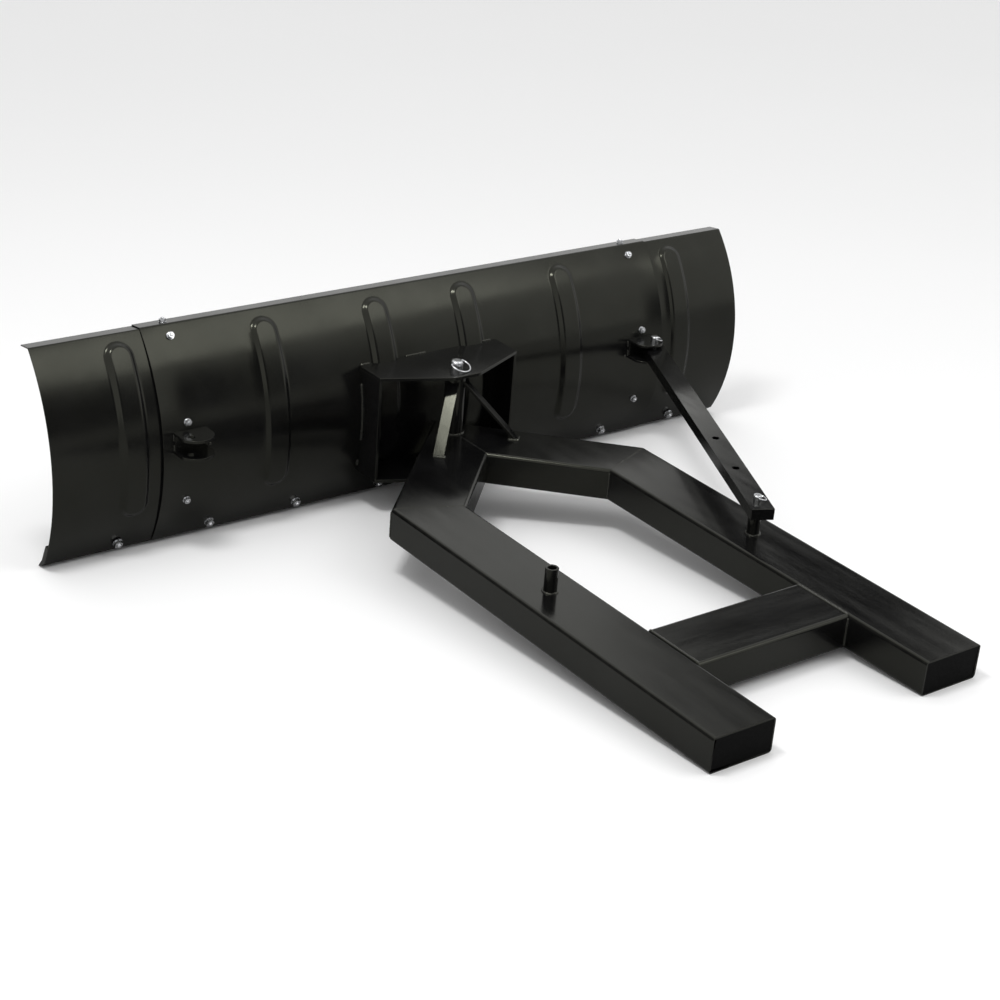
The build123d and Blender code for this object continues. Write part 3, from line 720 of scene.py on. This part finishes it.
tubes = [("cross_tube", (1, 0, 0))]
for side, word in ((-1, "left"), (1, "right")):
    tubes += [(f"{word}_rail", (0, 1, 0)), (f"{word}_arm", (-side, 1, 0))]


def at_rail_end(edge):
    """Test for edges of a rail's open rear end."""
    return all(v.co.y < RAIL_REAR + 0.05 for v in edge.verts)


for name, direction in tubes:
    tube = cad_mesh(name)
    round_edges(tube, TUBE_CORNER, 6, runs_along(direction))
    if name.endswith("rail"):
        round_edges(tube, 0.8, 2, at_rail_end)
    streaked = "cross_black" if name == "cross_tube" else "frame_black"
    piece(f"{name}_tube", tube, "push_frame", "frame_black", [name], look=streaked)

for word in ("left", "right"):
    cap = cad_mesh(f"{word}_end_cap")
    round_edges(cap, 0.6, 2)
    piece(f"{word}_end_cap_plug", cap, "push_frame", "black_plastic", [f"{word}_end_cap"])
    brace = cad_mesh(f"{word}_brace")
    round_edges(brace, 0.7, 2)
    piece(f"{word}_brace_bar", brace, "push_frame", "frame_black", [f"{word}_brace"])

king_tube = bmesh.new()
turned(
    king_tube,
    Matrix.Identity(4),
    [
        (KING_BORE + 0.6, KING_LOW),
        (KING_TUBE - 1.0, KING_LOW),
        (KING_TUBE, KING_LOW + 1.0),
        (KING_TUBE, KING_HIGH - 1.0),
        (KING_TUBE - 1.0, KING_HIGH),
        (KING_BORE + 0.6, KING_HIGH),
        (KING_BORE, KING_HIGH - 0.6),
        (KING_BORE, KING_LOW + 0.6),
    ],
    64,
    closed=True,
)
piece("kingpin_tube_turned", king_tube, "push_frame", "frame_black", ["kingpin_tube"])

for side, word in ((-1, "left"), (1, "right")):
    post = bmesh.new()
    turned(
        post,
        Matrix.Translation((side * POST_X, POST_Y, 0)),
        [
            (POST_BORE, TUBE_TOP),
            (POST_RADIUS, TUBE_TOP),
            (POST_RADIUS, POST_TOP - 1.0),
            (POST_RADIUS - 0.3, POST_TOP - 0.3),
            (POST_RADIUS - 1.0, POST_TOP),
            (POST_BORE + 0.8, POST_TOP),
            (POST_BORE, POST_TOP - 0.8),
        ],
        48,
        closed=True,
    )
    piece(f"{word}_post_turned", post, "push_frame", "frame_black", [f"{word}_post"])

FOOT_X, FOOT_Y, FOOT_HALF, FOOT_OFFSET = 85.0, -80.0, 10, 4.6   # foot of a brace on its arm
BRACE_TOP = 152.0
NOSE_FRONT, NOSE_REAR = -22, -108
WELD_LOW, WELD_HIGH = 6, 54                                     # ends of a bead up a tube's side

frame_welds = bmesh.new()
sunk = TUBE_TOP - 1.1
for side in (-1, 1):
    outer, inner = side * (RAIL_X + HALF_TUBE), side * (RAIL_X - HALF_TUBE)
    # mitre between rail and arm
    start, end = (outer - 5 * side, CORNER_Y - 2, sunk), (inner + 4 * side, INNER_CORNER_Y + 1.6, sunk)
    bead(frame_welds, [start, end], 1.7, (0, 0, 1))
    for x, y, size, facing in (
        (outer - side * 0.6, CORNER_Y, 2.0, (side, 0.4, 0)),
        (inner + side * 0.4, INNER_CORNER_Y, 2.2, (-side, -0.4, 0)),
    ):
        bead(frame_welds, [(x, y, WELD_LOW), (x, y, WELD_HIGH)], size, facing)
    # cross tube to rail
    x = inner - side * 0.4
    for z, up in ((TUBE_TOP - 1.0, 1), (1.0, -1)):
        bead(frame_welds, [(x, CROSS_FRONT - 3, z), (x, CROSS_REAR + 3, z)], 3.0, (-side, 0, up))
    x = inner - side * 0.5
    for y, ahead in ((CROSS_FRONT - 0.4, 1), (CROSS_REAR + 0.4, -1)):
        bead(frame_welds, [(x, y, 5), (x, y, 55)], 2.6, (-side, ahead, 0))
    # round the post, and at the brace's foot and head
    ring = circle((side * POST_X, POST_Y, TUBE_TOP + 0.4), POST_RADIUS + 0.9)
    bead(frame_welds, ring, 2.2, (0, 0, 1))
    foot = Vector((side * FOOT_X, FOOT_Y, TUBE_TOP + 0.3))
    away = Vector((foot.x, foot.y, 0)).normalized()
    along = Vector((-away.y, away.x, 0))
    for offset in (-FOOT_OFFSET, FOOT_OFFSET):
        line = [foot + away * offset - along * FOOT_HALF, foot + away * offset + along * FOOT_HALF]
        bead(frame_welds, line, 2.7, away * offset + Vector((0, 0, 3)))
    near = foot - along * 10.5 * side
    line = [near + away * 5, near - away * (14 if side > 0 else 3)]
    bead(frame_welds, line, 3.2, (0, -0.3, 1))
    head = away * (KING_TUBE - 0.5) + Vector((0, 0, BRACE_TOP))
    bead(frame_welds, [head - along * 9, head + along * 9], 2.2, away + Vector((0, 0, 0.6)))
# nose mitre, and round the kingpin's tube
for z, size, up in ((sunk, 1.8, 1), (1.1, 2.3, -1)):
    bead(frame_welds, [(0, NOSE_FRONT, z), (0, NOSE_REAR, z)], size, (0, 0, up))
for z, up in ((TUBE_TOP + 0.3, 1), (-0.3, -1)):
    ring = circle((0, 0, z), KING_TUBE + 1.2)
    bead(frame_welds, ring, 2.7, lambda point, up=up: Vector((point.x, point.y, 12 * up)))
piece("frame_welds", frame_welds, "push_frame", "frame_black", look="weld_black")

# ======================================================================================
# Strut and pins
# ======================================================================================

strut = cad_mesh("strut_tube")
round_edges(strut, 1.1, 3)
piece("strut_tube_formed", strut, "strut", "frame_black", ["strut_tube"])
strut_end = cad_mesh("strut_cap")
round_edges(strut_end, 0.6, 2)
piece("strut_cap_plug", strut_end, "strut", "frame_black", ["strut_cap"])

for name in ("kingpin", "kingpin_ring", "clevis_pin", "clevis_pin_ring", "post_pin", "post_pin_ring"):
    for holder in nodes[name].material_slots:
        holder.material = looks["zinc_hardware"]

# ======================================================================================
# Camera and studio
# ======================================================================================

CAMERA_PLACE = (-2.0482, -2.4506, 1.4383)
CAMERA_AHEAD, CAMERA_RIGHT = (0.5562, 0.7418, -0.3747), (0.8061, -0.5911, 0.0262)
SENSOR_WIDTH, FOCAL_LENGTH = 36.0, 74.48
FLOOR_HALF, FLOOR_DROP = 60.0, 0.0002
WHITE = (1.0, 1.0, 1.0, 1.0)

camera = bpy.data.objects.new("camera", bpy.data.cameras.new("camera"))
bpy.context.scene.collection.objects.link(camera)
bpy.context.scene.camera = camera
looking = Vector(CAMERA_AHEAD).normalized()
right = Vector(CAMERA_RIGHT)
right = (right - looking * right.dot(looking)).normalized()
aim = Matrix((right, right.cross(looking), -looking)).transposed().to_4x4()
camera.matrix_world = Matrix.Translation(CAMERA_PLACE) @ aim
camera.data.sensor_width = SENSOR_WIDTH
camera.data.lens = FOCAL_LENGTH

floor_mesh = bmesh.new()
bmesh.ops.create_grid(floor_mesh, x_segments=4, y_segments=4, size=FLOOR_HALF)
floor_data = bpy.data.meshes.new("floor")
floor_mesh.to_mesh(floor_data)
floor_mesh.free()
floor = bpy.data.objects.new("floor", floor_data)
bpy.context.scene.collection.objects.link(floor)
floor.location.z = cad_low.z - FLOOR_DROP
pale = Nodes("floor_pale")
mirrored = pale.add("ShaderNodeLightPath").outputs["Is Glossy Ray"]
pale_tone = pale.mixed(pale.noise(0.6, 2.0), (0.9, 0.9, 0.9), (0.92, 0.92, 0.92))
pale.link(pale.mixed(mirrored, pale_tone, (0.42, 0.42, 0.42)), pale.shader.inputs["Base Color"])
pale.set(Roughness=0.9, Specular_IOR_Level=0.1)
floor_data.materials.append(pale.material)


def softbox(name, place, target, width, height, power):
    """Rectangular studio light."""
    light = bpy.data.lights.new(name, "AREA")
    light.shape = "RECTANGLE"
    light.size, light.size_y = width, height
    light.energy = power
    made = bpy.data.objects.new(name, light)
    bpy.context.scene.collection.objects.link(made)
    made.location = place
    made.rotation_euler = (Vector(target) - Vector(place)).to_track_quat("-Z", "Y").to_euler()


softbox("back_softbox", (2.43, -3.34, 4.21), (0, 0.4, 0.2), 2.8, 2.4, 46.0)
softbox("overhead_lamp", (-1.12, -0.1, 3.1), (0.03, 0.37, 0.18), 0.9, 0.5, 35.0)

world = bpy.data.worlds.new("studio")
bpy.context.scene.world = world
world.use_nodes = True
tree = world.node_tree


def world_node(kind, inputs, output=0, **settings):
    """A node of the world with its inputs set to numbers or linked to outputs; gives one output."""
    node = tree.nodes.new(kind)
    for key, value in settings.items():
        setattr(node, key, value)
    for key, value in inputs.items():
        if isinstance(value, bpy.types.NodeSocket):
            tree.links.new(value, node.inputs[key])
        else:
            node.inputs[key].default_value = value
    return node.outputs[output]


# The studio is white all round, apart from some patches: each has a direction, the angles within
# which it is full and beyond which it is gone, and its brightness next to the white.
heading = world_node("ShaderNodeTexCoord", {}, "Generated")
WORLD_LEVEL = 0.97
level = WORLD_LEVEL
for toward, full, gone, left in (
    ((0.665, 0.558, 0.497), 3.8, 6.2, 0.0),
    ((0.627, 0.656, 0.418), 1.5, 4.0, 3.0),
    ((0.138, -0.981, 0.139), 20.0, 28.0, 0.08),
    ((-0.683, 0.683, 0.259), 26.0, 44.0, 0.14),
):
    facing = world_node("ShaderNodeVectorMath", {0: heading, 1: toward}, "Value", operation="DOT_PRODUCT")
    span = {
        "Value": facing,
        "From Min": math.cos(math.radians(gone)),
        "From Max": math.cos(math.radians(full)),
        "To Min": 1.0,
        "To Max": left,
    }
    share = world_node("ShaderNodeMapRange", span, interpolation_type="SMOOTHSTEP")
    level = world_node("ShaderNodeMath", {0: level, 1: share}, operation="MULTIPLY")
seen = world_node("ShaderNodeLightPath", {}, "Is Camera Ray")
level = world_node("ShaderNodeMath", {0: level, 1: seen}, operation="MAXIMUM")
tree.links.new(level, tree.nodes["Background"].inputs["Strength"])
tree.nodes["Background"].inputs["Color"].default_value = WHITE

bpy.context.scene.view_settings.view_transform = "Standard"
